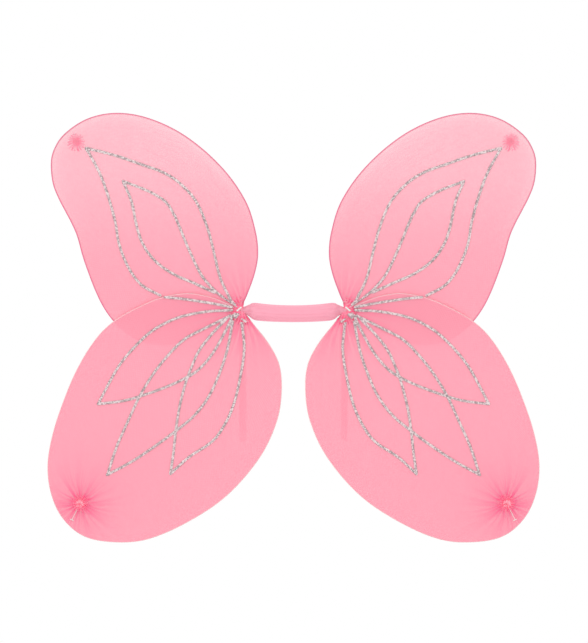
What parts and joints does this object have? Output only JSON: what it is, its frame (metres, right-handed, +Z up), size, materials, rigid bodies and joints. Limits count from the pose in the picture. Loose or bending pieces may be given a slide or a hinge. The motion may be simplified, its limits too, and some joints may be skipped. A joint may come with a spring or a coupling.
{
  "type": "fairy wings",
  "caption": "Sheer nylon butterfly wings on bent wire loops, with glitter veins, a padded bar between the roots and elastic arm loops.",
  "frame": {"origin": "middle of the padded bar's flat back, where it rests on the wearer", "axes": "+X runs across the wings, +Y points to the wearer's back, +Z is up; the glittered face looks along -Y"},
  "size_m": [0.64, 0.0826, 0.5592],
  "materials": {
    "bar_fabric": "soft",
    "foam": "matt",
    "steel_wire": "satin",
    "tape": "matt",
    "crimp": "satin",
    "coated_wire": "gloss",
    "nylon": "sheer",
    "glitter": "glitter",
    "gathered_nylon": "sheer",
    "thread": "matt",
    "barb": "clear",
    "elastic": "ribbed"
  },
  "bodies": {
    "centre": {"pad_sleeve": "bar_fabric", "foam_pad": "foam", "stem_wires": "steel_wire", "tape_wrap": "tape", "crimp_left": "crimp", "crimp_right": "crimp"},
    "left_wings": {"upper_wire_left": "coated_wire", "lower_wire_left": "coated_wire", "upper_cover_left": "nylon", "lower_cover_left": "nylon", "upper_outer_vein_left": "glitter", "upper_inner_vein_left": "glitter", "over_rim_vein_left": "glitter", "lower_veins_left": "glitter", "upper_tuft_left": "gathered_nylon", "lower_tuft_left": "gathered_nylon", "upper_tie_left": "thread", "lower_tie_left": "thread", "tip_barb_left": "barb", "root_binding_left": "thread", "elastic_hitch_left": "elastic"},
    "right_wings": {"upper_wire_right": "coated_wire", "lower_wire_right": "coated_wire", "upper_cover_right": "nylon", "lower_cover_right": "nylon", "upper_outer_vein_right": "glitter", "upper_inner_vein_right": "glitter", "over_rim_vein_right": "glitter", "lower_veins_right": "glitter", "upper_tuft_right": "gathered_nylon", "lower_tuft_right": "gathered_nylon", "upper_tie_right": "thread", "lower_tie_right": "thread", "tip_barb_right": "barb", "root_binding_right": "thread", "elastic_hitch_right": "elastic"},
    "left_loop": {"loop_knot_left": "elastic", "arm_loop_left": "elastic"},
    "right_loop": {"loop_knot_right": "elastic", "arm_loop_right": "elastic"}
  },
  "joints": [
    {"name": "left_fold", "type": "hinge", "parent": "centre", "child": "left_wings", "pos_m": [-0.066, -0.009, 0], "axis": [0, 0, 1], "range_deg": [0, 80]},
    {"name": "right_fold", "type": "hinge", "parent": "centre", "child": "right_wings", "pos_m": [0.066, -0.009, 0], "axis": [0, 0, -1], "range_deg": [0, 80]},
    {"name": "left_loop_swing", "type": "hinge", "parent": "left_wings", "child": "left_loop", "pos_m": [-0.067, -0.001, 0], "axis": [1, 0, 0], "range_deg": [0, 80]},
    {"name": "right_loop_swing", "type": "hinge", "parent": "right_wings", "child": "right_loop", "pos_m": [0.067, -0.001, 0], "axis": [1, 0, 0], "range_deg": [0, 80]}
  ]
}
